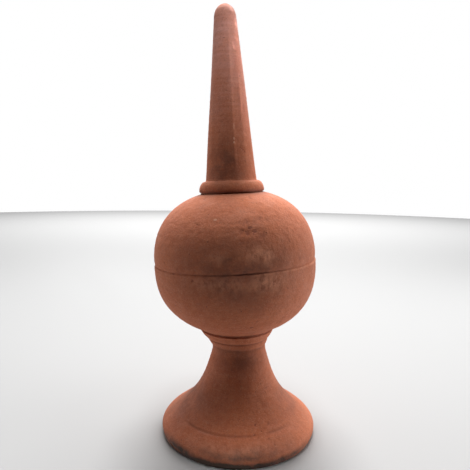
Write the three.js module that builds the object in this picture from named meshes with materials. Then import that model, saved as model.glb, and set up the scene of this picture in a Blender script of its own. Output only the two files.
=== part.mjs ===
// Roof finial: one piece of fired clay, thrown hollow and left open underneath.
// A spike with a rounded tip stands on a ball, and the ball on a neck that flares to a round foot.
// The upper part leans a little to one side of the foot's own axis.
import * as THREE from "three";

// Millimetres, with +Z up. The foot rests on the plane Z = 0, and the origin lies there below the middle of
// the whole width. The lean brings that about 4 mm from the foot's own axis, towards -X.

// Foot: a fat rolled edge up to a crease, then a flare that draws in to the neck
const FOOT_RADIUS = 93.6;
const FOOT_WIDEST_HEIGHT = 8.7;
const FOOT_TUCK = 5;
const ROLL_EDGE_PULL = 4.5;
const ROLL_CREASE_ANGLE = 35;
const ROLL_CREASE_PULL = 13;
const CREASE_RADIUS = 74;
const CREASE_HEIGHT = 27;
const FLARE_HEIGHT = 72.5;
const FLARE_LOW_ANGLE = 38.6;
const FLARE_LOW_PULL = 29.3;
const FLARE_HIGH_ANGLE = 14.7;
const FLARE_HIGH_PULL = 37.6;

// Neck, the two tapered bands that step out from it, and the recess under the ball
const NECK_RADIUS = 32.6;
const LOWER_BAND_START = 8.9;
const LOWER_BAND_FOOT_RADIUS = 33.4;
const LOWER_BAND_RADIUS = 36.9;
const LOWER_BAND_HEIGHT = 6.2;
const BAND_STEP = 2.1;
const UPPER_BAND_FOOT_RADIUS = 38.8;
const UPPER_BAND_RADIUS = 45.2;
const UPPER_BAND_HEIGHT = 9.7;
const RECESS_RADIUS = 42.8;
const RECESS_HEIGHT = 4;

// Ball: a little fuller than an ellipse, cut off flat below, with a scored line just above its middle
const BALL_RADIUS = 95.8;
const BALL_RISE = 86;
const BALL_DROP = 83;
const BALL_FULLNESS = 2.37;
const BALL_FOOT_RADIUS = 49.6;
const BALL_FOOT_LIP = 1.5;
const BALL_FOOT_BEVEL = 1.2;
const GROOVE_RISE = 2.8;
const GROOVE_WIDTH = 3;
const GROOVE_DEPTH = 1.6;

// Collar: a quarter round on the ball's shoulder, tucked in below
const COLLAR_RADIUS = 38.6;
const COLLAR_HEIGHT = 14;
const COLLAR_TUCK = 2.4;
const COLLAR_WIDEST = 4;

// Spike: a long cone with a domed tip
const SPIKE_BASE_RADIUS = 30.3;
const SPIKE_TOP_RADIUS = 13.4;
const SPIKE_LENGTH = 180.6;
const TIP_HEIGHT = 16.3;

// Hollow: a bell under the foot, a bore through the neck, a chamber in the ball and a bore up the spike
const REST_WIDTH = 14;
const REST_ROUND = 3;
const NECK_WALL = 14;
const FOOT_WALL = 14;
const BALL_WALL = 14;
const SPIKE_WALL = 13;
const SPIKE_BORE_TOP_RADIUS = 4;
const SPIKE_CROWN = 45;

// Lean towards -X: an arc from the flare to the ball's middle, and a spike set straighter on the ball.
// The ball also sits a little to that side of the neck.
const LEAN_START = 80;
const LEAN_LENGTH = 130;
const LEAN_ANGLE = 3.5;
const SPIKE_STRAIGHTER = 0.65;
const BALL_SHIFT = 2.7;

// Facets round the axis and along each curved stretch
const SIDES = 60;
const EDGE_STEPS = 3;
const ROLL_STEPS = 5;
const FLARE_STEPS = 9;
const LOWER_BALL_STEPS = 9;
const UPPER_BALL_STEPS = 10;
const COLLAR_STEPS = 4;
const TIP_STEPS = 5;
const CHAMBER_STEPS = 10;

const radians = THREE.MathUtils.degToRad;

// Heights that follow from the sizes above
const flareTop = CREASE_HEIGHT + FLARE_HEIGHT;
const lowerBandBottom = flareTop + LOWER_BAND_START;
const lowerBandTop = lowerBandBottom + LOWER_BAND_HEIGHT;
const upperBandBottom = lowerBandTop + BAND_STEP;
const upperBandTop = upperBandBottom + UPPER_BAND_HEIGHT;
const ballBottom = upperBandTop + RECESS_HEIGHT;
const ballCentre = ballBottom + BALL_FOOT_LIP + BALL_DROP * Math.sin(turnOnBall(BALL_FOOT_RADIUS, 0));
const collarBottom = ballCentre + BALL_RISE * Math.sin(turnOnBall(COLLAR_RADIUS - COLLAR_TUCK, 0));
const collarTop = collarBottom + COLLAR_HEIGHT;
const tipBottom = collarTop + SPIKE_LENGTH;
const tipTop = tipBottom + TIP_HEIGHT;

// Turn up from the ball's middle, in radians, at which its surface set in by the wall has the given radius
function turnOnBall(radius, wall) {
  const share = 1 - Math.pow(radius / (BALL_RADIUS - wall), BALL_FULLNESS);
  return Math.asin(Math.pow(share, 1 / BALL_FULLNESS));
}

// Points on the ball's outline set in by the wall, from one turn to another
function ballArc(wall, from, to, steps) {
  const points = [];
  for (let i = 0; i <= steps; i += 1) {
    const turn = from + (to - from) * (i / steps);
    const halfHeight = (turn < 0 ? BALL_DROP : BALL_RISE) - wall;
    const share = 1 - Math.pow(Math.abs(Math.sin(turn)), BALL_FULLNESS);
    points.push(new THREE.Vector2(
      (BALL_RADIUS - wall) * Math.pow(share, 1 / BALL_FULLNESS),
      ballCentre + halfHeight * Math.sin(turn),
    ));
  }
  return points;
}

// Points on a quarter of an ellipse about a centre, from one angle to another in degrees
function ellipseArc(centreRadius, centreHeight, halfWidth, halfHeight, from, to, steps) {
  const points = [];
  for (let i = 0; i <= steps; i += 1) {
    const angle = radians(from + (to - from) * (i / steps));
    points.push(new THREE.Vector2(
      centreRadius + halfWidth * Math.cos(angle),
      centreHeight + halfHeight * Math.sin(angle),
    ));
  }
  return points;
}

// Curve of the rolled edge, from its widest height up to the crease
function rollCurve() {
  const start = new THREE.Vector2(FOOT_RADIUS, FOOT_WIDEST_HEIGHT);
  const end = new THREE.Vector2(CREASE_RADIUS, CREASE_HEIGHT);
  const slope = radians(ROLL_CREASE_ANGLE);
  return new THREE.CubicBezierCurve(
    start,
    new THREE.Vector2(start.x, start.y + ROLL_EDGE_PULL),
    new THREE.Vector2(end.x + ROLL_CREASE_PULL * Math.cos(slope), end.y - ROLL_CREASE_PULL * Math.sin(slope)),
    end,
  );
}

// Curve of the flare, from the crease up to the neck
function flareCurve() {
  const start = new THREE.Vector2(CREASE_RADIUS, CREASE_HEIGHT);
  const end = new THREE.Vector2(NECK_RADIUS, flareTop);
  const low = radians(FLARE_LOW_ANGLE);
  const high = radians(FLARE_HIGH_ANGLE);
  return new THREE.CubicBezierCurve(
    start,
    new THREE.Vector2(start.x - FLARE_LOW_PULL * Math.cos(low), start.y + FLARE_LOW_PULL * Math.sin(low)),
    new THREE.Vector2(end.x + FLARE_HIGH_PULL * Math.sin(high), end.y - FLARE_HIGH_PULL * Math.cos(high)),
    end,
  );
}

// Rolled edge and flare, from the plane the foot rests on up to the neck
function footOutline() {
  const restRadius = FOOT_RADIUS - FOOT_TUCK;
  const under = ellipseArc(restRadius, FOOT_WIDEST_HEIGHT, FOOT_TUCK, FOOT_WIDEST_HEIGHT, -90, 0, EDGE_STEPS);
  const roll = rollCurve().getPoints(ROLL_STEPS);
  const flare = flareCurve().getPoints(FLARE_STEPS);
  return [...under, ...roll.slice(1), ...flare.slice(1)];
}

// Two stepped bands and the recess under the ball
function bandOutline() {
  return [
    new THREE.Vector2(LOWER_BAND_FOOT_RADIUS, lowerBandBottom),
    new THREE.Vector2(LOWER_BAND_RADIUS, lowerBandTop),
    new THREE.Vector2(UPPER_BAND_FOOT_RADIUS, upperBandBottom),
    new THREE.Vector2(UPPER_BAND_RADIUS, upperBandTop),
    new THREE.Vector2(RECESS_RADIUS, upperBandTop + RECESS_HEIGHT / 2),
    new THREE.Vector2(BALL_FOOT_RADIUS - BALL_FOOT_BEVEL, ballBottom),
  ];
}

// Ball from its cut-off foot to the collar, with the scored line
function ballOutline() {
  const grooveLow = Math.asin((GROOVE_RISE - GROOVE_WIDTH / 2) / BALL_RISE);
  const grooveHigh = Math.asin((GROOVE_RISE + GROOVE_WIDTH / 2) / BALL_RISE);
  const lower = ballArc(0, -turnOnBall(BALL_FOOT_RADIUS, 0), grooveLow, LOWER_BALL_STEPS);
  const upper = ballArc(0, grooveHigh, turnOnBall(COLLAR_RADIUS - COLLAR_TUCK, 0), UPPER_BALL_STEPS);
  const groove = new THREE.Vector2(BALL_RADIUS - GROOVE_DEPTH, ballCentre + GROOVE_RISE);
  return [...lower, groove, ...upper];
}

// Collar from its tucked-in underside to the spike
function collarOutline() {
  const widest = collarBottom + COLLAR_WIDEST;
  const under = ellipseArc(COLLAR_RADIUS - COLLAR_TUCK, widest, COLLAR_TUCK, COLLAR_WIDEST, -45, 0, 1);
  const over = ellipseArc(
    SPIKE_BASE_RADIUS, widest, COLLAR_RADIUS - SPIKE_BASE_RADIUS, COLLAR_HEIGHT - COLLAR_WIDEST,
    0, 75, COLLAR_STEPS,
  );
  return [...under, ...over.slice(1)];
}

// Spike and tip, ending on the axis
function spikeOutline() {
  const tip = ellipseArc(0, tipBottom, SPIKE_TOP_RADIUS, TIP_HEIGHT, 0, 90, TIP_STEPS);
  tip[tip.length - 1].set(0, tipTop);
  return [new THREE.Vector2(SPIKE_BASE_RADIUS, collarTop), ...tip];
}

// Underside of the foot: the flare set in by the wall, from the flat rest up to the neck's bore
function bellOutline() {
  const restInner = FOOT_RADIUS - FOOT_TUCK - REST_WIDTH;
  const bore = NECK_RADIUS - NECK_WALL;
  const flare = flareCurve();
  const points = [new THREE.Vector2(restInner, 0)];
  for (let i = 0; i <= FLARE_STEPS; i += 1) {
    const outer = flare.getPoint(i / FLARE_STEPS);
    const along = flare.getTangent(i / FLARE_STEPS);
    const inner = new THREE.Vector2(outer.x - FOOT_WALL * along.y, outer.y + FOOT_WALL * along.x);
    if (inner.x < restInner - REST_ROUND && inner.y > REST_ROUND && inner.x > bore) {
      points.push(inner);
    }
  }
  points.push(new THREE.Vector2(bore, flareTop));
  return points;
}

// Inside, from the foot's rest up to the closed end of the spike's bore
function hollowOutline() {
  const bore = NECK_RADIUS - NECK_WALL;
  const spikeBore = SPIKE_BASE_RADIUS - SPIKE_WALL;
  const chamber = ballArc(
    BALL_WALL, -turnOnBall(bore, BALL_WALL), turnOnBall(spikeBore, BALL_WALL), CHAMBER_STEPS,
  );
  const boreTop = tipTop - SPIKE_CROWN;
  return [
    ...bellOutline(),
    ...chamber,
    new THREE.Vector2(spikeBore, collarTop),
    new THREE.Vector2(SPIKE_BORE_TOP_RADIUS, boreTop),
    new THREE.Vector2(0, boreTop),
  ];
}

// Where the axis has come to at a height, and its turn there
function leanAt(height) {
  const onBall = Math.min(height, collarBottom);
  const turn = radians(LEAN_ANGLE) * THREE.MathUtils.clamp((onBall - LEAN_START) / LEAN_LENGTH, 0, 1);
  const bend = LEAN_LENGTH / radians(LEAN_ANGLE);
  const beyond = Math.max(onBall - LEAN_START - LEAN_LENGTH, 0);
  const shift = BALL_SHIFT * THREE.MathUtils.smoothstep(height, flareTop, ballBottom);
  const spikeTurn = height > collarBottom ? turn - radians(SPIKE_STRAIGHTER) : turn;
  const alongSpike = height - onBall;
  return {
    x: -shift - bend * (1 - Math.cos(turn)) - beyond * Math.sin(turn) - alongSpike * Math.sin(spikeTurn),
    z: Math.min(height, LEAN_START) + bend * Math.sin(turn) + beyond * Math.cos(turn)
      + alongSpike * Math.cos(spikeTurn),
    turn: spikeTurn,
  };
}

// Moves each level of the upper part to the leaning axis and turns it with the axis
function leanUpperPart(geometry) {
  const position = geometry.attributes.position;
  for (let i = 0; i < position.count; i += 1) {
    const x = position.getX(i);
    const axis = leanAt(position.getZ(i));
    position.setX(i, axis.x + x * Math.cos(axis.turn));
    position.setZ(i, axis.z + x * Math.sin(axis.turn));
  }
  geometry.computeVertexNormals();
}

// Moves the foot's axis so that the origin is below the middle of the whole
function centreOverOrigin(geometry) {
  geometry.computeBoundingBox();
  const middle = geometry.boundingBox.getCenter(new THREE.Vector3());
  geometry.translate(-middle.x, -middle.y, 0);
}

function finial() {
  const outside = [...footOutline(), ...bandOutline(), ...ballOutline(), ...collarOutline(), ...spikeOutline()];
  const inside = hollowOutline();
  const geometry = new THREE.LatheGeometry([...inside.reverse(), ...outside], SIDES);
  geometry.rotateX(Math.PI / 2);
  leanUpperPart(geometry);
  centreOverOrigin(geometry);
  const clay = new THREE.MeshStandardMaterial({ color: "#9b5f45", roughness: 0.9, metalness: 0 });
  const mesh = new THREE.Mesh(geometry, clay);
  mesh.name = "finial_body";
  return mesh;
}

const group = new THREE.Group();
group.add(finial());

export default group;
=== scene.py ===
"""A roof finial of fired clay: a spike on a ball, over a banded neck and a flared foot, open underneath."""

import math

import bpy
import numpy as np
from mathutils import Matrix, Vector


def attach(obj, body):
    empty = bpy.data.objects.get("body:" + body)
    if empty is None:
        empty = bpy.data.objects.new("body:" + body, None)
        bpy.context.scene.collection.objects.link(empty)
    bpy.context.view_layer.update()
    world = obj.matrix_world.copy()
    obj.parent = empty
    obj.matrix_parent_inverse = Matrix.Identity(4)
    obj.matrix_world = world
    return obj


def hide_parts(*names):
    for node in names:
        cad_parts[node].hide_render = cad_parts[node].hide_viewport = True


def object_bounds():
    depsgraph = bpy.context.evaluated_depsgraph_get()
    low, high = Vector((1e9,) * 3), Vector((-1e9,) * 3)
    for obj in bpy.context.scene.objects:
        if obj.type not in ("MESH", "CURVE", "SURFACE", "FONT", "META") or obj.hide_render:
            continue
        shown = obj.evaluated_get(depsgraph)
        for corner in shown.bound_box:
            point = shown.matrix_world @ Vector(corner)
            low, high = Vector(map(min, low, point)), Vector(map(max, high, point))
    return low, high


MM = 0.001

# Foot
FOOT_RADIUS = 93.6 * MM
FOOT_WIDEST_HEIGHT = 8.7 * MM
FOOT_TUCK = 5 * MM
ROLL_EDGE_PULL = 4.5 * MM
ROLL_CREASE_ANGLE = 35
ROLL_CREASE_PULL = 13 * MM
CREASE_RADIUS = 74 * MM
CREASE_HEIGHT = 27 * MM
FLARE_HEIGHT = 72.5 * MM
FLARE_LOW_ANGLE = 38.6
FLARE_LOW_PULL = 29.3 * MM
FLARE_HIGH_ANGLE = 14.7
FLARE_HIGH_PULL = 37.6 * MM

# Neck, bands and recess
NECK_RADIUS = 32.6 * MM
LOWER_BAND_START = 8.9 * MM
LOWER_BAND_FOOT_RADIUS = 33.4 * MM
LOWER_BAND_RADIUS = 36.9 * MM
LOWER_BAND_HEIGHT = 6.2 * MM
BAND_STEP = 2.1 * MM
UPPER_BAND_FOOT_RADIUS = 38.8 * MM
UPPER_BAND_RADIUS = 45.2 * MM
UPPER_BAND_HEIGHT = 9.7 * MM
BAND_CUSHION = 0.6 * MM
BAND_LINE_DEPTH = 0.9 * MM
RECESS_RADIUS = 42.8 * MM
RECESS_HEIGHT = 4 * MM

# Ball
BALL_RADIUS = 95.8 * MM
BALL_RISE = 86 * MM
BALL_DROP = 83 * MM
BALL_FULLNESS = 2.37
BALL_FOOT_RADIUS = 49.6 * MM
BALL_FOOT_LIP = 1.5 * MM
BALL_FOOT_BEVEL = 1.2 * MM
GROOVE_RISE = 2.8 * MM
GROOVE_WIDTH = 3 * MM
GROOVE_DEPTH = 1.6 * MM

# Collar and spike
COLLAR_RADIUS = 38.6 * MM
COLLAR_HEIGHT = 14 * MM
COLLAR_TUCK = 2.4 * MM
COLLAR_FOOT_HEIGHT = 2.2 * MM
COLLAR_FOOT_ANGLE = -80
COLLAR_TOP_ANGLE = 78
SPIKE_BASE_RADIUS = 30.3 * MM
SPIKE_TOP_RADIUS = 13.4 * MM
SPIKE_LENGTH = 180.6 * MM
TIP_HEIGHT = 16.3 * MM

# Hollow
REST_WIDTH = 14 * MM
REST_ROUND = 3 * MM
NECK_WALL = 14 * MM
FOOT_WALL = 14 * MM
BALL_WALL = 14 * MM
SPIKE_WALL = 13 * MM
SPIKE_BORE_TOP_RADIUS = 4 * MM
SPIKE_CROWN = 45 * MM

# Lean towards -X: an arc from the flare to the ball's middle, and a spike set straighter on the ball
LEAN_START = 80 * MM
LEAN_LENGTH = 130 * MM
LEAN_ANGLE = 3.5
SPIKE_STRAIGHTER = 0.65
BALL_SHIFT = 2.7 * MM

# Relief: the outline's mean inset, so that no ridge stands proud of the sizes above
MEAN_INSET = 0.4 * MM
LEAST_INSET = 0.02 * MM
TIP_INSET = 0.05 * MM
TIP_FADE = 4 * MM
REST_FADE = 3 * MM

# Fields of waves, left by turning and by the hand: count, most turns round the axis, range of pitches, depth
TURNING = (12, 1, (3.5 * MM, 9 * MM), 0.07 * MM)
HAND = (8, 3, (60 * MM, 200 * MM), 0.16 * MM)

# Step at the ball's scored line, the lip below it, pale with wear and a painted highlight, and the share of
# painted shade the line keeps all round
GROOVE_STEP = 0.9 * MM
GROOVE_STEP_REACH = 5 * MM
GROOVE_LIP_REACH = 0.9 * MM
LIP_DROP = 1.7 * MM
LIP_WIDTH = 0.9 * MM
LIP_STRENGTH = 0.75
GROOVE_DARK_LEAST = 0.1

# Unevenness round the axis: waves in a turn, phase, and size as a share or in metres
GROOVE_WIDTH_WAVES = ((3, 1, 0.2), (7, 0, 0.15))
GROOVE_CUT_MEAN = 0.45
GROOVE_CUT_LEAST = 0.15
GROOVE_CUT_WAVES = ((4, math.pi / 2 - 0.4, 0.32), (13, 0, 0.1))
CREASE_WAVES = ((2, 0.6, 0.3 * MM),)

# Arcs in degrees from the front towards +X, and the arc over which each fades out
# GROOVE_DARK_ARC is where the scored line's painted shade is strongest
GROOVE_DARK_ARC = (-24, 34, 25)
LIP_ARC = (12, 86, 12)
CREASE_ARC = (-52, 50, 12)
CREASE_GAP = (13, 27, 5)
CREASE_BACK_ARC = (110, 230, 25)

# Broken crease on the foot, the share of painted shade in it, and the swelling of the roll below it
CREASE_WIDTH = 1.1 * MM
CREASE_DEPTH = 0.75 * MM
CREASE_GAP_SHARE = 0.8
CREASE_BACK_SHARE = 0.35
CREASE_DARK = 0.5
SWELLING = 0.5 * MM
SWELLING_DROP = 3 * MM
SWELLING_WIDTH = 2.5 * MM

# Pits seen in the photograph: (angle, height), (half width, half height), depth
PITS = (
    ((-18.1, 327.3 * MM), (1.6 * MM, 1.3 * MM), 1.0 * MM),
    ((26.5, 339.2 * MM), (1.3 * MM, 0.7 * MM), 0.35 * MM),
    ((30, 337.7 * MM), (1.3 * MM, 0.7 * MM), 0.35 * MM),
    ((33.5, 336.2 * MM), (1.3 * MM, 0.7 * MM), 0.35 * MM),
    ((37, 334.8 * MM), (1.2 * MM, 0.7 * MM), 0.35 * MM),
    ((-35.6, 284.4 * MM), (1.7 * MM, 1.3 * MM), 0.9 * MM),
    ((12.6, 255.1 * MM), (2.4 * MM, 1.6 * MM), 0.4 * MM),
    ((15.4, 251.5 * MM), (2.6 * MM, 1.8 * MM), 0.35 * MM),
    ((10.4, 250.2 * MM), (2.2 * MM, 2.6 * MM), 0.3 * MM),
    ((-26.3, 204 * MM), (1.7 * MM, 1.4 * MM), 0.9 * MM),
    ((13, 149 * MM), (2.6 * MM, 1.1 * MM), 0.9 * MM),
    ((16.9, 34.5 * MM), (1.2 * MM, 0.9 * MM), 0.4 * MM),
    ((21.5, 29.5 * MM), (1.0 * MM, 0.8 * MM), 0.4 * MM),
    ((14.3, 27.6 * MM), (1.3 * MM, 0.9 * MM), 0.4 * MM),
    ((28.4, 19 * MM), (1.0 * MM, 0.8 * MM), 0.4 * MM),
)

# Pale chips and the scratch on the spike: (angle, height), (half width, half height)
CHIPS = (
    ((12.1, 349.4 * MM), (1.0 * MM, 1.6 * MM)),
    ((11.6, 345 * MM), (0.9 * MM, 1.2 * MM)),
    ((13.5, 364 * MM), (0.45 * MM, 22 * MM)),
    ((-12.1, 264.3 * MM), (1.6 * MM, 1.0 * MM)),
)

# Fields of small pits: count, lowest and highest place, arc of angles, size.
# Each pit's half width is a share of the size, and its half height and depth are shares of that width.
PIT_FIELD_WIDTHS = (0.5, 1)
PIT_FIELD_HEIGHTS = (0.6, 1)
PIT_FIELD_DEPTH = 0.35
PIT_FIELD_STRENGTH = 0.8
PIT_FIELDS = (
    (26, 15 * MM, 38 * MM, (14, 31), 1.0 * MM),
    (40, 14 * MM, 95 * MM, (-180, 180), 1.3 * MM),
    (70, 135 * MM, 285 * MM, (-180, 180), 1.4 * MM),
    (16, 240 * MM, 264 * MM, (4, 22), 2.2 * MM),
    (24, 305 * MM, 480 * MM, (-180, 180), 1.2 * MM),
)

# Pale smears, and the first is a painted highlight along the front of the roll: (angle, height), (half width,
# half height), strength
SMEARS_AND_PAINTED_HIGHLIGHT = (
    ((0, 19 * MM), (50 * MM, 3.5 * MM), 0.35),
    ((15.6, 230 * MM), (15 * MM, 8 * MM), 0.9),
    ((21, 227 * MM), (8 * MM, 9 * MM), 0.9),
    ((21, 199 * MM), (22 * MM, 9 * MM), 0.9),
    ((3, 200 * MM), (16 * MM, 7 * MM), 0.5),
    ((-12, 201 * MM), (26 * MM, 8 * MM), 0.45),
    ((-9.4, 228 * MM), (8 * MM, 6 * MM), 0.5),
)

# Dirt and painted shade. The ball's front, the flare under the ball and the flare's sides get painted shade;
# the spike's foot and the foot's bottom edge get dirt and painted shade: (angle, height), (half width, half
# height), strength
DIRT_AND_PAINTED_SHADE = (
    ((0, 97 * MM), (34 * MM, 14 * MM), 0.75),
    ((-46, 7 * MM), (34 * MM, 5.5 * MM), 1.4),
    ((-8, 3.5 * MM), (72 * MM, 5 * MM), 2.2),
    ((34, 6 * MM), (32 * MM, 4 * MM), 1.3),
    ((180, 3 * MM), (150 * MM, 4 * MM), 0.8),
    ((2, 14.5 * MM), (56 * MM, 6 * MM), 1.0),
    ((-12, 322 * MM), (24 * MM, 24 * MM), 0.85),
    ((4, 212 * MM), (54 * MM, 34 * MM), 0.9),
    ((-85, 42 * MM), (45 * MM, 26 * MM), 0.75),
    ((85, 42 * MM), (35 * MM, 22 * MM), 0.6),
)

# Edges left by the scraper down the spike, whose surface is set in for them:
# angle, lowest and highest place, rise, width to the left, width to the right
SPIKE_INSET = 0.25 * MM
SCRAPE_LOW_EASE = 12 * MM
SCRAPE_HIGH_EASE = 30 * MM
SCRAPES = (
    (11.5, 308 * MM, 470 * MM, 0.5 * MM, 9 * MM, 3 * MM),
    (40, 308 * MM, 440 * MM, 0.35 * MM, 5 * MM, 3 * MM),
    (-52, 315 * MM, 430 * MM, 0.3 * MM, 4 * MM, 7 * MM),
)

# Broad dents left by the hand, and chips along the foot's edge:
# (angle, height), (half width, half height), depth
DENTS = (
    ((-90, 146 * MM), (38 * MM, 13 * MM), 1.6 * MM),
    ((-40, 8 * MM), (8 * MM, 3.5 * MM), 1.1 * MM),
    ((-24, 6.5 * MM), (5 * MM, 3 * MM), 1.2 * MM),
    ((-8, 7 * MM), (7 * MM, 2.6 * MM), 0.9 * MM),
    ((14, 6 * MM), (4 * MM, 3 * MM), 1.1 * MM),
    ((31, 7.5 * MM), (6 * MM, 2.6 * MM), 0.8 * MM),
    ((52, 9 * MM), (4 * MM, 3 * MM), 0.8 * MM),
)

# Mesh
SIDES = 252
FINE_SPACING = 0.2 * MM
INSIDE_SPACING = 9 * MM
SEED = 7250

# Points along each curve, before rows are spaced along it
FOOT_EDGE_STEPS = 20
ROLL_STEPS = 80
FLARE_STEPS = 160
BALL_STEPS = 200
GROOVE_STEPS = 60
COLLAR_FOOT_STEPS = 12
COLLAR_STEPS = 30
TIP_STEPS = 40
INSIDE_FLARE_STEPS = 40
CHAMBER_STEPS = 60

# Zones of closer rows: curve steps either side of the crease, and height either side of the scored line
CREASE_ZONE = 12
GROOVE_ZONE = 3 * GROOVE_WIDTH

# Clay colours
CLAY_WARM = (0.55, 0.158, 0.067)
CLAY_DARK = (0.45, 0.122, 0.051)
CLAY_PALE = (0.59, 0.195, 0.094)
# Dark clay for soot-coloured grit, grain and specks, and for painted shade
CLAY_SOOT_AND_SHADE = (0.13, 0.048, 0.030)
# Dirt and painted contact shadow along the foot's bottom edge
CLAY_DIRT_AND_SHADE = (0.075, 0.045, 0.033)
CLAY_PIT = (0.24, 0.066, 0.034)
CLAY_DUST = (0.68, 0.36, 0.24)
# Pale smears, and the painted highlights on the roll and on the lip below the scored line
CLAY_ASH_AND_HIGHLIGHT = (0.86, 0.36, 0.21)
CLAY_BLOOM = (0.62, 0.29, 0.235)

# Heights between which the dirt and painted shade turn from grey to brown, and the spike turns pinker
DIRT_AND_SHADE_HEIGHTS = (14 * MM, 30 * MM)
BLOOM_HEIGHTS = (340 * MM, 470 * MM)

# Stretches of a pattern along X, Y and Z
EVEN = (1, 1, 1)
TURNED = (8, 8, 260)
TURNED_FINE = (40, 40, 620)
DRAGGED = (130, 130, 90)

# Patterns: noise scale, detail and roughness, stretch, range of the noise, and what that range becomes
MOTTLE = ((18, 3, 0.5), EVEN, (0.35, 0.65), (0, 1))
PALE_MOTTLE = ((150, 4, 0.6), EVEN, (0.4, 0.62), (0, 0.4))
BLOOM_PATCHES = ((45, 4, 0.65), EVEN, (0.25, 0.6), (0.35, 1))
DIRT_AND_SHADE_PATCHES = ((70, 5, 0.7), EVEN, (0.3, 0.6), (0.25, 1))
SMEAR_AND_HIGHLIGHT_STREAKS = ((1, 4, 0.75), DRAGGED, (0.36, 0.58), (0, 1))
RAGGED_EDGES = ((700, 2, 0.6), EVEN, (0.3, 0.7), (-0.35, 0.35))
DULLNESS = ((60, 3, 0.5), EVEN, (0.3, 0.7), (0.78, 0.95))

# Streaks and grain over the base colour: pattern and colour
GRAIN = (
    (((1, 3, 0.6), TURNED, (0.4, 0.6), (0, 0.3)), CLAY_DARK),
    (((1, 4, 0.7), TURNED_FINE, (0.56, 0.72), (0, 0.14)), CLAY_DUST),
    (((330, 3, 0.65), EVEN, (0.5, 0.66), (0, 0.16)), CLAY_SOOT_AND_SHADE),
    (((410, 3, 0.65), EVEN, (0.52, 0.68), (0, 0.12)), CLAY_DUST),
)

# Grit: noise scale, detail and roughness, and the ranges of it that darken and lighten the clay, and how far
GRIT = (900, 2, 0.7)
DARK_GRIT = ((0.55, 0.75), (0, 0.45))
PALE_GRIT = ((0.42, 0.28), (0, 0.35))

# Specks: scale of the cells, size in a cell, share of the cells that hold one
DARK_SPECKS = (170, 0.16, 0.12)
PALE_SPECKS = (230, 0.14, 0.08)
SPECK_CORE = 0.4

# How far each mark hides the clay
DARK_SPECK_COVER = 0.7
PALE_SPECK_COVER = 0.5
DIRT_AND_SHADE_COVER = 0.92
SMEAR_AND_HIGHLIGHT_COVER = 0.75
CHIP_COVER = 0.75
PIT_COVER = 0.8
PAINTED_SHADE_COVER = 0.6

# Distances from a mark's middle, in its half sizes, at which it begins and is full
MARK_EDGE = (1.15, 0.8)

# Bumps of the surface: noise scale, detail and roughness, depth, strength
BUMPS = (
    ((85, 4, 0.6), 1.6 * MM, 0.7),
    ((230, 4, 0.6), 0.55 * MM, 0.8),
)
GRIT_DEPTH = 0.25 * MM
GRIT_STRENGTH = 0.7
SPECK_DEPTH = 0.4 * MM
SPECK_STRENGTH = 0.6

# Studio: soft boxes by azimuth from +X towards +Y, angle above the floor, size and power
FLOOR_RADIUS = 4
FLOOR_SIDES = 128
FLOOR_ROUGHNESS = 0.9
FLOOR_COLOUR = (0.42, 0.42, 0.42)
LIGHT_DISTANCE = 1.3
LIGHT_AIM_HEIGHT = 0.22
SOFT_BOXES = (
    ("overhead", 95, 76, (0.5, 0.5), 18),
    ("front_top", -90, 79, (0.22, 0.22), 3.6),
    ("back", 75, 55, (1.1, 0.5), 8.2),
    ("right_high", -10, 55, (0.5, 0.5), 2.6),
    ("right", 12, -4, (0.6, 0.24), 9),
    ("left_high", 160, 30, (0.5, 0.5), 0.8),
    ("left", 172, -3, (0.6, 0.24), 3),
)
# Narrow beams: name, height of the aim, its distance in front,
# azimuth, angle above the floor, side, spread and power
BEAMS = (
    ("spike", 0.5, 0, -62, 25, 0.12, 12, 0.044),
    ("roll", 0.014, 0.088, -66, 44, 0.05, 6, 0.0062),
)
BACKGROUND_DISTANCE = 2.6
BACKGROUND_HEIGHT = 1.8
BACKGROUND_SIZE = (4, 2)
BACKGROUND_POWER = 150
WORLD_STRENGTH = 0.004

# Camera, as the photograph's outline and ring lines place it, from the foot's axis
PICTURE_SIDE = 470
FOCAL_PIXELS = 440
SENSOR_WIDTH = 36
CAMERA_PLACE = (0, -520.4 * MM, 301.7 * MM)
CAMERA_TURN = 0.76
CAMERA_PITCH = -6.93
CAMERA_ROLL = 0.78


# Outline of the clay

def turn_on_ball(radius, wall=0.0):
    """Turn up from the ball's middle at which its surface, set in by the wall, has this radius."""
    share = 1 - (radius / (BALL_RADIUS - wall)) ** BALL_FULLNESS
    return math.asin(share ** (1 / BALL_FULLNESS))


FLARE_TOP = CREASE_HEIGHT + FLARE_HEIGHT
LOWER_BAND_BOTTOM = FLARE_TOP + LOWER_BAND_START
LOWER_BAND_TOP = LOWER_BAND_BOTTOM + LOWER_BAND_HEIGHT
UPPER_BAND_BOTTOM = LOWER_BAND_TOP + BAND_STEP
UPPER_BAND_TOP = UPPER_BAND_BOTTOM + UPPER_BAND_HEIGHT
BALL_BOTTOM = UPPER_BAND_TOP + RECESS_HEIGHT
BALL_CENTRE = BALL_BOTTOM + BALL_FOOT_LIP + BALL_DROP * math.sin(turn_on_ball(BALL_FOOT_RADIUS))
COLLAR_BOTTOM = BALL_CENTRE + BALL_RISE * math.sin(turn_on_ball(COLLAR_RADIUS - COLLAR_TUCK))
COLLAR_TOP = COLLAR_BOTTOM + COLLAR_HEIGHT
TIP_BOTTOM = COLLAR_TOP + SPIKE_LENGTH
TIP_TOP = TIP_BOTTOM + TIP_HEIGHT
GROOVE_HEIGHT = BALL_CENTRE + GROOVE_RISE

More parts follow.
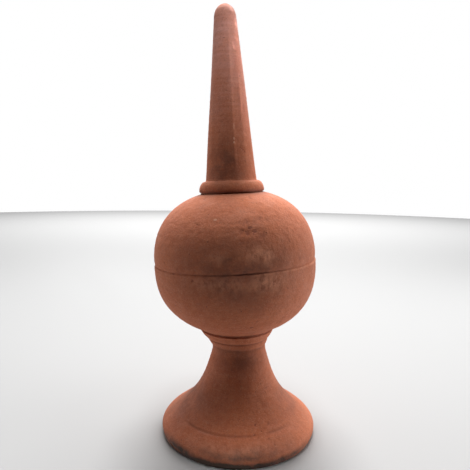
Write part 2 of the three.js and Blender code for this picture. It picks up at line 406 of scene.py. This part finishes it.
# Painted shade in the corners: under the ball, between the bands, below the lower band and under the collar:
# height, half width, strength
PAINTED_CORNER_SHADE = (
    (UPPER_BAND_TOP + RECESS_HEIGHT / 2, 1.6 * MM, 0.7),
    ((LOWER_BAND_TOP + UPPER_BAND_BOTTOM) / 2, 0.9 * MM, 0.8),
    (LOWER_BAND_BOTTOM - BAND_STEP, 2 * MM, 0.5),
    (COLLAR_BOTTOM + 0.5 * MM, 2.6 * MM, 1.0),
)


def ball_arc(low, high, steps, wall=0.0):
    """Points on the ball's outline, set in by the wall, between two turns from its middle."""
    turn = np.linspace(low, high, steps)
    half_height = np.where(turn < 0, BALL_DROP, BALL_RISE) - wall
    share = 1 - np.abs(np.sin(turn)) ** BALL_FULLNESS
    radius = (BALL_RADIUS - wall) * share ** (1 / BALL_FULLNESS)
    return np.stack([radius, BALL_CENTRE + half_height * np.sin(turn)], axis=1)


def ellipse_arc(centre, half, low, high, steps):
    """Points on an ellipse about a centre, between two angles in degrees."""
    angle = np.radians(np.linspace(low, high, steps))
    return np.stack([centre[0] + half[0] * np.cos(angle), centre[1] + half[1] * np.sin(angle)], axis=1)


def bend(start, first, last, end, steps):
    """Points on a cubic curve and the direction along it."""
    t = np.linspace(0, 1, steps)[:, None]
    points = (1 - t) ** 3 * start + 3 * (1 - t) ** 2 * t * first + 3 * (1 - t) * t ** 2 * last + t ** 3 * end
    along = (1 - t) ** 2 * (first - start) + 2 * (1 - t) * t * (last - first) + t ** 2 * (end - last)
    return points, along / np.linalg.norm(along, axis=1, keepdims=True)


def roll_curve(steps):
    """The rolled edge, from its widest height up to the crease."""
    slope = math.radians(ROLL_CREASE_ANGLE)
    start = np.array([FOOT_RADIUS, FOOT_WIDEST_HEIGHT])
    end = np.array([CREASE_RADIUS, CREASE_HEIGHT])
    first = start + np.array([0, ROLL_EDGE_PULL])
    last = end + ROLL_CREASE_PULL * np.array([math.cos(slope), -math.sin(slope)])
    return bend(start, first, last, end, steps)


def flare_curve(steps):
    """The flare, from the crease up to the neck."""
    low, high = math.radians(FLARE_LOW_ANGLE), math.radians(FLARE_HIGH_ANGLE)
    start = np.array([CREASE_RADIUS, CREASE_HEIGHT])
    end = np.array([NECK_RADIUS, FLARE_TOP])
    first = start + FLARE_LOW_PULL * np.array([-math.cos(low), math.sin(low)])
    last = end + FLARE_HIGH_PULL * np.array([math.sin(high), -math.cos(high)])
    return bend(start, first, last, end, steps)


def resample(points, spacing):
    """The same line with points at an even spacing, and both its ends."""
    length = np.concatenate([[0], np.cumsum(np.linalg.norm(np.diff(points, axis=0), axis=1))])
    count = max(2, int(round(length[-1] / spacing)) + 1)
    at = np.linspace(0, length[-1], count)
    return np.stack([np.interp(at, length, points[:, 0]), np.interp(at, length, points[:, 1])], axis=1)


def soften(points, reach):
    """Rounds the corners of an evenly spaced line as wet clay does, and keeps its ends."""
    spacing = np.linalg.norm(points[1] - points[0])
    half = int(math.ceil(3 * reach / spacing))
    weight = np.exp(-0.5 * (np.arange(-half, half + 1) * spacing / reach) ** 2)
    weight /= weight.sum()
    padded = np.concatenate([
        2 * points[0] - points[half:0:-1],
        points,
        2 * points[-1] - points[-2:-half - 2:-1],
    ])
    return np.stack([np.convolve(padded[:, k], weight, mode="valid") for k in (0, 1)], axis=1)


def outside_outline():
    """The outside from the foot's rest to the tip, in stretches with a row spacing and rounding in mm."""
    rest_outer = FOOT_RADIUS - FOOT_TUCK
    rest = np.array([[rest_outer - REST_WIDTH, 0], [rest_outer, 0]])
    under = ellipse_arc(
        (rest_outer, FOOT_WIDEST_HEIGHT), (FOOT_TUCK, FOOT_WIDEST_HEIGHT), -90, 0, FOOT_EDGE_STEPS,
    )
    roll = roll_curve(ROLL_STEPS)[0]
    flare = flare_curve(FLARE_STEPS)[0]
    edge = np.concatenate([under, roll[1:-CREASE_ZONE]])
    crease = np.concatenate([roll[-CREASE_ZONE - 1:], flare[1:CREASE_ZONE]])
    flare = flare[CREASE_ZONE - 1:]
    lower_middle = (LOWER_BAND_FOOT_RADIUS + LOWER_BAND_RADIUS) / 2 + BAND_CUSHION
    upper_middle = (UPPER_BAND_FOOT_RADIUS + UPPER_BAND_RADIUS) / 2 + BAND_CUSHION
    bands = np.array([
        [NECK_RADIUS, FLARE_TOP],
        [NECK_RADIUS, LOWER_BAND_BOTTOM - BAND_LINE_DEPTH],
        [LOWER_BAND_FOOT_RADIUS + BAND_LINE_DEPTH, LOWER_BAND_BOTTOM],
        [lower_middle, (LOWER_BAND_BOTTOM + LOWER_BAND_TOP) / 2],
        [LOWER_BAND_RADIUS, LOWER_BAND_TOP],
        [LOWER_BAND_RADIUS - BAND_LINE_DEPTH, (LOWER_BAND_TOP + UPPER_BAND_BOTTOM) / 2],
        [UPPER_BAND_FOOT_RADIUS, UPPER_BAND_BOTTOM],
        [upper_middle, (UPPER_BAND_BOTTOM + UPPER_BAND_TOP) / 2],
        [UPPER_BAND_RADIUS, UPPER_BAND_TOP],
        [RECESS_RADIUS, UPPER_BAND_TOP + RECESS_HEIGHT / 2],
        [BALL_FOOT_RADIUS - BALL_FOOT_BEVEL, BALL_BOTTOM],
        [BALL_FOOT_RADIUS, BALL_BOTTOM + BALL_FOOT_LIP],
    ])
    zone_low = math.asin((GROOVE_RISE - GROOVE_ZONE) / BALL_DROP)
    zone_high = math.asin((GROOVE_RISE + GROOVE_ZONE) / BALL_RISE)
    ball_low = ball_arc(-turn_on_ball(BALL_FOOT_RADIUS), zone_low, BALL_STEPS)
    ball_middle = ball_arc(zone_low, zone_high, GROOVE_STEPS)
    ball_high = ball_arc(zone_high, turn_on_ball(COLLAR_RADIUS - COLLAR_TUCK), BALL_STEPS)
    widest = COLLAR_BOTTOM + COLLAR_FOOT_HEIGHT
    collar = np.concatenate([
        ball_high[-1:],
        ellipse_arc(
            (COLLAR_RADIUS - COLLAR_TUCK, widest),
            (COLLAR_TUCK, COLLAR_FOOT_HEIGHT), COLLAR_FOOT_ANGLE, 0, COLLAR_FOOT_STEPS,
        ),
        ellipse_arc(
            (SPIKE_BASE_RADIUS, widest),
            (COLLAR_RADIUS - SPIKE_BASE_RADIUS, COLLAR_HEIGHT - COLLAR_FOOT_HEIGHT),
            0, COLLAR_TOP_ANGLE, COLLAR_STEPS,
        )[1:],
        [[SPIKE_BASE_RADIUS, COLLAR_TOP]],
    ])
    spike = np.array([[SPIKE_BASE_RADIUS, COLLAR_TOP], [SPIKE_TOP_RADIUS, TIP_BOTTOM]])
    tip = ellipse_arc((0, TIP_BOTTOM), (SPIKE_TOP_RADIUS, TIP_HEIGHT), 0, 90, TIP_STEPS)
    stretches = (
        (rest, 3.5, 0),
        (edge, 1.6, 0),
        (crease, 0.7, 0),
        (flare, 2.4, 0),
        (bands, 0.8, 0.35),
        (ball_low, 2.8, 0),
        (ball_middle, 0.7, 0),
        (ball_high, 2.8, 0),
        (collar, 0.9, 0.35),
        (spike, 2.6, 0),
        (tip, 1.7, 0),
    )
    rows = []
    for points, spacing, rounding in stretches:
        fine = resample(points, FINE_SPACING)
        if rounding:
            fine = soften(fine, rounding * MM)
        rows.append(resample(fine, spacing * MM)[(1 if rows else 0):])
    return np.concatenate(rows)


def inside_outline():
    """The hollow, from the foot's rest up to the closed end of the spike's bore."""
    rest_inner = FOOT_RADIUS - FOOT_TUCK - REST_WIDTH
    bore = NECK_RADIUS - NECK_WALL
    points, along = flare_curve(INSIDE_FLARE_STEPS)
    inner = points + FOOT_WALL * np.stack([-along[:, 1], along[:, 0]], axis=1)
    inner = inner[(inner[:, 0] < rest_inner - REST_ROUND) & (inner[:, 1] > REST_ROUND) & (inner[:, 0] > bore)]
    spike_bore = SPIKE_BASE_RADIUS - SPIKE_WALL
    low, high = -turn_on_ball(bore, BALL_WALL), turn_on_ball(spike_bore, BALL_WALL)
    chamber = ball_arc(low, high, CHAMBER_STEPS, BALL_WALL)
    top = TIP_TOP - SPIKE_CROWN
    line = np.concatenate([
        [[rest_inner, 0]], inner, [[bore, FLARE_TOP]], chamber,
        [[spike_bore, COLLAR_TOP], [SPIKE_BORE_TOP_RADIUS, top]],
    ])
    return resample(line, INSIDE_SPACING)


# Relief of the surface

def waves(rng, angle, length, count, most_turns, pitches, reach):
    """A smooth random field that joins up round the axis: so many waves, each with whole turns around."""
    field = np.zeros(np.broadcast(angle, length).shape)
    for _ in range(count):
        turns = rng.integers(-most_turns, most_turns + 1)
        pitch = rng.uniform(*pitches)
        phase = rng.uniform(0, 2 * math.pi)
        field += np.cos(turns * angle + 2 * math.pi * length / pitch + phase)
    return reach * field / math.sqrt(count)


def around(angle, degrees):
    """The turn from a place in degrees to each angle, at most half a turn either way."""
    return (angle - math.radians(degrees) + math.pi) % (2 * math.pi) - math.pi


def bell(distance, half):
    """1 where the distance is 0, falling off smoothly over the half width."""
    return np.exp(-((distance / half) ** 2))


def uneven(angle, terms):
    """A sum of waves round the axis."""
    return sum(share * np.sin(turns * angle + phase) for turns, phase, share in terms)


def spot(angle, height, radius, place, size):
    """1 in the middle of an oval spot and 0 outside it. Place is degrees from the front, and a height."""
    across = around(angle, place[0])
    distance = np.hypot(across * radius / size[0], (height - place[1]) / size[1])
    return np.exp(-(distance ** 2))


def arc_window(angle, low, high, ease):
    """1 between two angles round the axis, in degrees, easing to 0 outside them."""
    half = math.radians((high - low) / 2)
    across = np.abs(around(angle, (low + high) / 2))
    return np.clip((half - across) / math.radians(ease) + 0.5, 0, 1)


def scrapes(angle, height, radius):
    """The inset of the spike's surface, less the edges that the scraper left."""
    depth = SPIKE_INSET * np.clip((height - COLLAR_TOP) / SCRAPE_LOW_EASE, 0, 1)
    for degrees, low, high, rise, left, right in SCRAPES:
        across = around(angle, degrees) * radius
        ridge = 1 - np.abs(across) / np.where(across < 0, left, right)
        start = np.clip((height - low) / SCRAPE_LOW_EASE, 0, 1)
        end = np.clip((high - height) / SCRAPE_HIGH_EASE, 0, 1)
        depth = depth - rise * np.clip(ridge, 0, 1) * start * end
    return depth


def scored_line(angle, height):
    """The inset at the ball's scored line, and how strong the line itself is, which sets the painted shade in
    it.
    """
    away = height - GROOVE_HEIGHT
    # The clay above the line lies a little lower than the lip below it
    step = bell(away, np.where(away > 0, GROOVE_STEP_REACH, GROOVE_LIP_REACH))
    width = GROOVE_WIDTH / 3 * (1 + uneven(angle, GROOVE_WIDTH_WAVES))
    cut = np.clip(GROOVE_CUT_MEAN + uneven(angle, GROOVE_CUT_WAVES), GROOVE_CUT_LEAST, 1)
    groove_and_painted_shade = bell(away, width) * cut
    return GROOVE_STEP * step + GROOVE_DEPTH * groove_and_painted_shade, groove_and_painted_shade


def foot_crease(angle, height):
    """The inset at the foot's broken crease, less the swelling below it, and how strong the crease is."""
    gap = CREASE_GAP_SHARE * arc_window(angle, *CREASE_GAP)
    back = CREASE_BACK_SHARE * arc_window(angle, *CREASE_BACK_ARC)
    strength = np.clip(arc_window(angle, *CREASE_ARC) * (1 - gap) + back, 0, 1)
    away = height - CREASE_HEIGHT - uneven(angle, CREASE_WAVES)
    crease = bell(away, CREASE_WIDTH) * strength
    swelling = bell(away + SWELLING_DROP, SWELLING_WIDTH) * strength
    return CREASE_DEPTH * crease - SWELLING * swelling, crease


def pit_fields(rng, angle, height, radius):
    """The inset of the small pits strewn over the clay, and how strong they are."""
    depth, pits = 0, np.zeros(np.broadcast(angle, height).shape)
    for count, low, high, arc, size in PIT_FIELDS:
        for _ in range(count):
            place = (rng.uniform(*arc), rng.uniform(low, high))
            across = rng.uniform(*PIT_FIELD_WIDTHS) * size
            one = spot(angle, height, radius, place, (across, across * rng.uniform(*PIT_FIELD_HEIGHTS)))
            depth = depth + PIT_FIELD_DEPTH * across * one
            pits = np.maximum(pits, PIT_FIELD_STRENGTH * one)
    return depth, pits


def strongest(angle, height, radius, spots):
    """The strongest of some spots at each point."""
    found = np.zeros(np.broadcast(angle, height).shape)
    for place, size, strength in spots:
        found = np.maximum(found, strength * spot(angle, height, radius, place, size))
    return found


def relief(angle, length, height, radius):
    """How far the surface stands in from the outline, and the masks that the clay's material reads."""
    rng = np.random.default_rng(SEED)
    turning = waves(rng, angle, length, *TURNING)
    hand = waves(rng, angle, length, *HAND)
    line_inset, line = scored_line(angle, height)
    crease_inset, crease = foot_crease(angle, height)
    pit_inset, pits = pit_fields(rng, angle, height, radius)
    depth = MEAN_INSET + turning + hand + scrapes(angle, height, radius)
    depth += line_inset + crease_inset + pit_inset
    for place, size, deep in DENTS + PITS:
        depth += deep * spot(angle, height, radius, place, size)

    # Painted shade in the scored line, strongest at the front, in the crease and in the corners
    darkest = GROOVE_DARK_LEAST + (1 - GROOVE_DARK_LEAST) * arc_window(angle, *GROOVE_DARK_ARC)
    shade = np.maximum(line ** 2 * darkest, CREASE_DARK * crease)
    for place, half, strength in PAINTED_CORNER_SHADE:
        shade = np.maximum(shade, strength * bell(height - place, half))
    # Painted highlight and wear along the lip below the scored line, carried in the smear mask
    lip = bell(height - GROOVE_HEIGHT + LIP_DROP, LIP_WIDTH) * arc_window(angle, *LIP_ARC)
    masks = {
        "groove_and_painted_shade": shade,
        "pit": pits,
        "smear_and_painted_highlight": np.maximum(strongest(angle, height, radius, SMEARS_AND_PAINTED_HIGHLIGHT), LIP_STRENGTH * lip),
        "dirt_and_painted_shade": strongest(angle, height, radius, DIRT_AND_PAINTED_SHADE),
    }
    return np.clip(depth, LEAST_INSET, None), masks


def lean_at(height):
    """Where the axis has come to at each height, and its turn there."""
    on_ball = np.minimum(height, COLLAR_BOTTOM)
    turn = math.radians(LEAN_ANGLE) * np.clip((on_ball - LEAN_START) / LEAN_LENGTH, 0, 1)
    reach = LEAN_LENGTH / math.radians(LEAN_ANGLE)
    beyond = np.maximum(on_ball - LEAN_START - LEAN_LENGTH, 0)
    share = np.clip((height - FLARE_TOP) / (BALL_BOTTOM - FLARE_TOP), 0, 1)
    shift = BALL_SHIFT * share * share * (3 - 2 * share)
    spike_turn = np.where(height > COLLAR_BOTTOM, turn - math.radians(SPIKE_STRAIGHTER), turn)
    along_spike = height - on_ball
    x = -shift - reach * (1 - np.cos(turn)) - beyond * np.sin(turn) - along_spike * np.sin(spike_turn)
    z = np.minimum(height, LEAN_START) + reach * np.sin(turn) + beyond * np.cos(turn)
    return x, z + along_spike * np.cos(spike_turn), spike_turn


def lean(points):
    """Moves each level of the upper part to the leaning axis and turns it with the axis."""
    axis_x, axis_z, turn = lean_at(points[:, 2])
    across = points[:, 0].copy()
    points[:, 0] = axis_x + across * np.cos(turn)
    points[:, 2] = axis_z + across * np.sin(turn)
    return points


def marks_in_space(marks, axis_x):
    """The middle of each mark in space, and its half sizes."""
    outside = outside_outline()
    found = []
    for (degrees, height), size, *_ in marks:
        angle, radius = math.radians(degrees), np.interp(height, outside[:, 1], outside[:, 0])
        point = lean(np.array([[radius * math.sin(angle), -radius * math.cos(angle), height]]))[0]
        found.append(((point[0] + axis_x, point[1], point[2]), size))
    return found


def around_axis(radius, height, angle):
    """Points round the axis, in rings of one height or one height for each point."""
    across, deep = radius * np.sin(angle), -radius * np.cos(angle)
    return np.stack([across, deep, height + 0 * angle], axis=-1).reshape(-1, 3)


def skin(ring_starts, inward):
    """Quads between rings of points, each ring given by its first index."""
    here = np.arange(SIDES)
    there = (here + 1) % SIDES
    quads = []
    for low, high in zip(ring_starts[:-1], ring_starts[1:]):
        if inward:
            quads.append(np.stack([low + here, high + here, high + there, low + there], axis=1))
        else:
            quads.append(np.stack([low + here, low + there, high + there, high + here], axis=1))
    return np.concatenate(quads).tolist()


def cap(ring_start, pole, inward):
    """Triangles from a ring to a point on the axis."""
    pairs = [(ring_start + side, ring_start + (side + 1) % SIDES) for side in range(SIDES)]
    return [(b, a, pole) if inward else (a, b, pole) for a, b in pairs]


def clay_body(axis_x):
    """The whole finial as one closed mesh, with the foot's axis at the given X."""
    outside, inside = outside_outline(), inside_outline()
    length = np.concatenate([[0], np.cumsum(np.linalg.norm(np.diff(outside, axis=0), axis=1))])
    along = np.gradient(outside, axis=0)
    along /= np.linalg.norm(along, axis=1, keepdims=True)
    outward = np.stack([along[:, 1], -along[:, 0]], axis=1)[:-1, :, None]
    angle = np.arange(SIDES) * 2 * math.pi / SIDES
    rows, inner_rows = outside[:-1, :, None], inside[1:, :, None]
    depth, masks = relief(angle[None, :], length[:-1, None], rows[:, 1], rows[:, 0])
    fade = np.clip(rows[:, 0] / TIP_FADE, 0, 1) * np.clip(rows[:, 1] / REST_FADE, 0, 1)
    depth = depth * fade
    outer = around_axis(rows[:, 0] - outward[:, 0] * depth, rows[:, 1] - outward[:, 1] * depth, angle)
    inner = around_axis(inner_rows[:, 0], inner_rows[:, 1], angle)
    poles = np.array([[0, 0, TIP_TOP - TIP_INSET], [0, 0, TIP_TOP - SPIKE_CROWN]])
    points = lean(np.concatenate([outer, inner, poles]))
    points[:, 0] += axis_x

    outer_starts = [row * SIDES for row in range(len(rows))]
    inner_starts = [0] + [len(outer) + row * SIDES for row in range(len(inner_rows))]
    faces = skin(outer_starts, inward=False) + skin(inner_starts, inward=True)
    faces += cap(outer_starts[-1], len(points) - 2, inward=False)
    faces += cap(inner_starts[-1], len(points) - 1, inward=True)
    mesh = bpy.data.meshes.new("finial")
    mesh.from_pydata(points.tolist(), [], faces)
    mesh.validate()
    for name, mask in masks.items():
        values = np.zeros(len(points))
        values[:len(outer)] = mask.reshape(-1)
        mesh.attributes.new(name, "FLOAT", "POINT").data.foreach_set("value", values)
    mesh.shade_smooth()
    body = bpy.data.objects.new("finial", mesh)
    bpy.context.collection.objects.link(body)
    return body


# Materials

class Nodes:
    """Short ways to add shader nodes to one material."""

    def __init__(self, material):
        material.use_nodes = True
        self.tree = material.node_tree
        self.shader = self.tree.nodes["Principled BSDF"]
        self.coordinates = self.tree.nodes.new("ShaderNodeTexCoord").outputs["Object"]

    def link(self, source, target):
        """Feeds a socket from another socket, a number or a colour."""
        if isinstance(source, (int, float)):
            target.default_value = source
        elif isinstance(source, tuple):
            target.default_value = (*source, 1)
        else:
            self.tree.links.new(source, target)

    def attribute(self, name):
        node = self.tree.nodes.new("ShaderNodeAttribute")
        node.attribute_name = name
        return node.outputs["Fac"]

    def place(self, scale=EVEN, shift=(0, 0, 0)):
        """The point on the object, in metres, stretched by a scale and then shifted."""
        node = self.tree.nodes.new("ShaderNodeMapping")
        node.inputs["Scale"].default_value = scale
        node.inputs["Location"].default_value = shift
        self.tree.links.new(self.coordinates, node.inputs["Vector"])
        return node.outputs["Vector"]

    def noise(self, scale, detail, roughness, stretch=EVEN):
        node = self.tree.nodes.new("ShaderNodeTexNoise")
        node.inputs["Scale"].default_value = scale
        node.inputs["Detail"].default_value = detail
        node.inputs["Roughness"].default_value = roughness
        self.tree.links.new(self.place(stretch), node.inputs["Vector"])
        return node.outputs["Fac"]

    def pattern(self, noise, stretch, limits, becomes):
        """A noise of a given scale, detail and roughness, with one range of it made into another."""
        return self.span(self.noise(*noise, stretch), limits, becomes)

    def near(self, marks, wobble):
        """1 inside any of the marks, which have ragged ovals for outlines."""
        inside = None
        for middle, (half_width, half_height) in marks:
            scale = (1 / half_width, 1 / half_width, 1 / half_height)
            offset = self.tree.nodes.new("ShaderNodeVectorMath")
            offset.operation = "LENGTH"
            point = self.place(scale, tuple(-m * k for m, k in zip(middle, scale)))
            self.tree.links.new(point, offset.inputs[0])
            away = self.math("ADD", offset.outputs["Value"], wobble)
            one = self.span(away, MARK_EDGE)
            inside = one if inside is None else self.math("MAXIMUM", inside, one)
        return inside

    def height(self):
        """Height above the floor, in metres."""
        node = self.tree.nodes.new("ShaderNodeSeparateXYZ")
        self.tree.links.new(self.place(), node.inputs["Vector"])
        return node.outputs["Z"]

    def dots(self, scale, size, share):
        """1 inside small dots, in so large a share of the cells of a given scale."""
        node = self.tree.nodes.new("ShaderNodeTexVoronoi")
        node.inputs["Scale"].default_value = scale
        self.tree.links.new(self.place(), node.inputs["Vector"])
        inside = self.span(node.outputs["Distance"], (size, size * SPECK_CORE))
        split = self.tree.nodes.new("ShaderNodeSeparateColor")
        self.tree.links.new(node.outputs["Color"], split.inputs["Color"])
        chosen = self.math("LESS_THAN", split.outputs["Red"], share)
        return self.math("MULTIPLY", inside, chosen)

    def span(self, value, limits, becomes=(0, 1)):
        """The value stretched from one range to another, and held at its ends."""
        node = self.tree.nodes.new("ShaderNodeMapRange")
        self.link(value, node.inputs["Value"])
        node.inputs["From Min"].default_value, node.inputs["From Max"].default_value = limits
        node.inputs["To Min"].default_value, node.inputs["To Max"].default_value = becomes
        return node.outputs["Result"]

    def math(self, operation, first, second):
        node = self.tree.nodes.new("ShaderNodeMath")
        node.operation = operation
        self.link(first, node.inputs[0])
        self.link(second, node.inputs[1])
        return node.outputs["Value"]

    def mix(self, factor, first, second):
        """The first colour at factor 0 and the second at 1."""
        node = self.tree.nodes.new("ShaderNodeMix")
        node.data_type = "RGBA"
        self.link(factor, node.inputs["Factor"])
        self.link(first, node.inputs["A"])
        self.link(second, node.inputs["B"])
        return node.outputs["Result"]

    def cover(self, mark, share, under, over):
        """One colour over another where a mark is, hiding so large a share of it."""
        return self.mix(self.math("MULTIPLY", mark, share), under, over)

    def bump(self, height, distance, strength, after=None):
        node = self.tree.nodes.new("ShaderNodeBump")
        node.inputs["Strength"].default_value = strength
        node.inputs["Distance"].default_value = distance
        self.link(height, node.inputs["Height"])
        if after is not None:
            self.tree.links.new(after, node.inputs["Normal"])
        return node.outputs["Normal"]


def base_colour(n):
    """Mottled clay, pinker up the spike, with turning streaks, grain and specks; and its grit and specks."""
    colour = n.mix(n.pattern(*MOTTLE), CLAY_DARK, CLAY_WARM)
    colour = n.mix(n.pattern(*PALE_MOTTLE), colour, CLAY_PALE)
    patches = n.pattern(*BLOOM_PATCHES)
    bloom = n.math("MULTIPLY", n.span(n.height(), BLOOM_HEIGHTS), patches)
    colour = n.mix(bloom, colour, CLAY_BLOOM)
    for pattern, tint in GRAIN:
        colour = n.mix(n.pattern(*pattern), colour, tint)
    grit = n.noise(*GRIT)
    colour = n.mix(n.span(grit, *DARK_GRIT), colour, CLAY_SOOT_AND_SHADE)
    colour = n.mix(n.span(grit, *PALE_GRIT), colour, CLAY_DUST)
    specks = n.dots(*DARK_SPECKS)
    colour = n.cover(specks, DARK_SPECK_COVER, colour, CLAY_SOOT_AND_SHADE)
    colour = n.cover(n.dots(*PALE_SPECKS), PALE_SPECK_COVER, colour, CLAY_DUST)
    return colour, grit, specks


def clay_material(axis_x):
    """Matt fired clay with dirt and painted shade, pale smears and painted highlights, chips and pits over
    its mottled base.
    """
    material = bpy.data.materials.new("terracotta")
    n = Nodes(material)
    colour, grit, specks = base_colour(n)
    # Dirt and painted shade: painted shade on the ball's front and the flare, and dirt and painted shade at
    # the spike's foot and the foot's bottom edge
    dirt_and_painted_shade_mask = n.math("MULTIPLY", n.attribute("dirt_and_painted_shade"), n.pattern(*DIRT_AND_SHADE_PATCHES))
    dirt_and_painted_shade = n.mix(n.span(n.height(), DIRT_AND_SHADE_HEIGHTS), CLAY_DIRT_AND_SHADE, CLAY_SOOT_AND_SHADE)
    colour = n.cover(dirt_and_painted_shade_mask, DIRT_AND_SHADE_COVER, colour, dirt_and_painted_shade)
    # Pale smears, and painted highlights on the roll's front and on the lip below the scored line
    ragged = n.math("MULTIPLY", n.attribute("smear_and_painted_highlight"), n.pattern(*SMEAR_AND_HIGHLIGHT_STREAKS))
    colour = n.cover(ragged, SMEAR_AND_HIGHLIGHT_COVER, colour, CLAY_ASH_AND_HIGHLIGHT)
    wobble = n.pattern(*RAGGED_EDGES)
    chips = n.near(marks_in_space(CHIPS, axis_x), wobble)
    colour = n.cover(chips, CHIP_COVER, colour, CLAY_DUST)
    pits = n.near(marks_in_space(PITS, axis_x), wobble)
    colour = n.cover(n.math("MAXIMUM", pits, n.attribute("pit")), PIT_COVER, colour, CLAY_PIT)
    # Painted shade in the scored line, the crease and the corners
    colour = n.cover(n.attribute("groove_and_painted_shade"), PAINTED_SHADE_COVER, colour, CLAY_SOOT_AND_SHADE)
    n.link(colour, n.shader.inputs["Base Color"])
    n.link(n.pattern(*DULLNESS), n.shader.inputs["Roughness"])
    normal = None
    for noise, depth, strength in BUMPS:
        normal = n.bump(n.noise(*noise), depth, strength, normal)
    normal = n.bump(grit, GRIT_DEPTH, GRIT_STRENGTH, normal)
    hollows = n.span(n.math("MAXIMUM", specks, pits), (0, 1), (1, 0))
    n.link(n.bump(hollows, SPECK_DEPTH, SPECK_STRENGTH, normal), n.shader.inputs["Normal"])
    return material


def plain_material(name, colour, roughness):
    """One colour all over."""
    material = bpy.data.materials.new(name)
    material.use_nodes = True
    shader = material.node_tree.nodes["Principled BSDF"]
    shader.inputs["Base Color"].default_value = (*colour, 1)
    shader.inputs["Roughness"].default_value = roughness
    return material


# Studio

def floor():
    """A plain pale disc at height 0."""
    bpy.ops.mesh.primitive_circle_add(vertices=FLOOR_SIDES, radius=FLOOR_RADIUS, fill_type="NGON")
    plane = bpy.context.object
    plane.name = "floor"
    plane.data.materials.append(plain_material("floor_pale", FLOOR_COLOUR, FLOOR_ROUGHNESS))


def area_light(name, place, aim, size, power, spread=180):
    """A rectangular light of a power in watts, turned to its aim, with its spread in degrees."""
    data = bpy.data.lights.new(name, "AREA")
    data.shape = "RECTANGLE"
    data.size, data.size_y = size
    data.energy = power
    data.spread = math.radians(spread)
    lamp = bpy.data.objects.new(name, data)
    lamp.location = place
    lamp.rotation_euler = (aim - place).to_track_quat("-Z", "Y").to_euler()
    bpy.context.collection.objects.link(lamp)


def direction(azimuth, elevation):
    """Unit vector at an angle from +X towards +Y and an angle above the floor, in degrees."""
    turn, rise = math.radians(azimuth), math.radians(elevation)
    return Vector((math.cos(turn) * math.cos(rise), math.sin(turn) * math.cos(rise), math.sin(rise)))


def lights():
    """Soft boxes above, behind and at both sides, two weak beams in front, and a white background."""
    aim = Vector((0, 0, LIGHT_AIM_HEIGHT))
    for name, azimuth, elevation, size, power in SOFT_BOXES:
        area_light(name, aim + LIGHT_DISTANCE * direction(azimuth, elevation), aim, size, power)
    for name, height, ahead, azimuth, elevation, side, spread, power in BEAMS:
        aim = Vector((0, -ahead, height))
        place = aim + LIGHT_DISTANCE * direction(azimuth, elevation)
        area_light(name, place, aim, (side, side), power, spread)
    behind = Vector((0, BACKGROUND_DISTANCE, BACKGROUND_HEIGHT))
    area_light("background", behind, Vector((0, behind.y, 0)), BACKGROUND_SIZE, BACKGROUND_POWER)
    world = bpy.data.worlds.new("studio")
    bpy.context.scene.world = world
    world.use_nodes = True
    tree = world.node_tree
    background = tree.nodes["Background"]
    background.inputs["Color"].default_value = (1, 1, 1, 1)
    path = tree.nodes.new("ShaderNodeLightPath")
    strength = tree.nodes.new("ShaderNodeMapRange")
    strength.inputs["To Min"].default_value = WORLD_STRENGTH
    tree.links.new(path.outputs["Is Camera Ray"], strength.inputs["Value"])
    tree.links.new(strength.outputs["Result"], background.inputs["Strength"])


def camera(axis_x):
    """The photograph's camera, with the foot's axis at the given X."""
    data = bpy.data.cameras.new("camera")
    data.sensor_width = SENSOR_WIDTH
    data.lens = SENSOR_WIDTH * FOCAL_PIXELS / PICTURE_SIDE
    lens = bpy.data.objects.new("camera", data)
    turn = Matrix.Rotation(math.radians(CAMERA_TURN), 4, "Z")
    pitch = Matrix.Rotation(math.radians(90 + CAMERA_PITCH), 4, "X")
    roll = Matrix.Rotation(math.radians(CAMERA_ROLL), 4, "Z")
    place = Matrix.Translation((axis_x + CAMERA_PLACE[0], CAMERA_PLACE[1], CAMERA_PLACE[2]))
    lens.matrix_world = place @ turn @ pitch @ roll
    bpy.context.collection.objects.link(lens)
    bpy.context.scene.camera = lens


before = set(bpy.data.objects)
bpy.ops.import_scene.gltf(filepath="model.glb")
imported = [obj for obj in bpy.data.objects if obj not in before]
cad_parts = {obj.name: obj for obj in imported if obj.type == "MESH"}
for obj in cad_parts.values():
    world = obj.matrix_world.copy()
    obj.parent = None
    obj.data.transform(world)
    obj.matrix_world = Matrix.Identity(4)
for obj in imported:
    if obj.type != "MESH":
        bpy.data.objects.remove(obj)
cad_box = [list(corner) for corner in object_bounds()]
foot_axis_x = cad_box[1][0] - FOOT_RADIUS

finial = clay_body(foot_axis_x)
finial.data.materials.append(clay_material(foot_axis_x))
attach(finial, "root")
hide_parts("finial_body")

floor()
lights()
camera(foot_axis_x)
bpy.context.scene.view_settings.view_transform = "Standard"
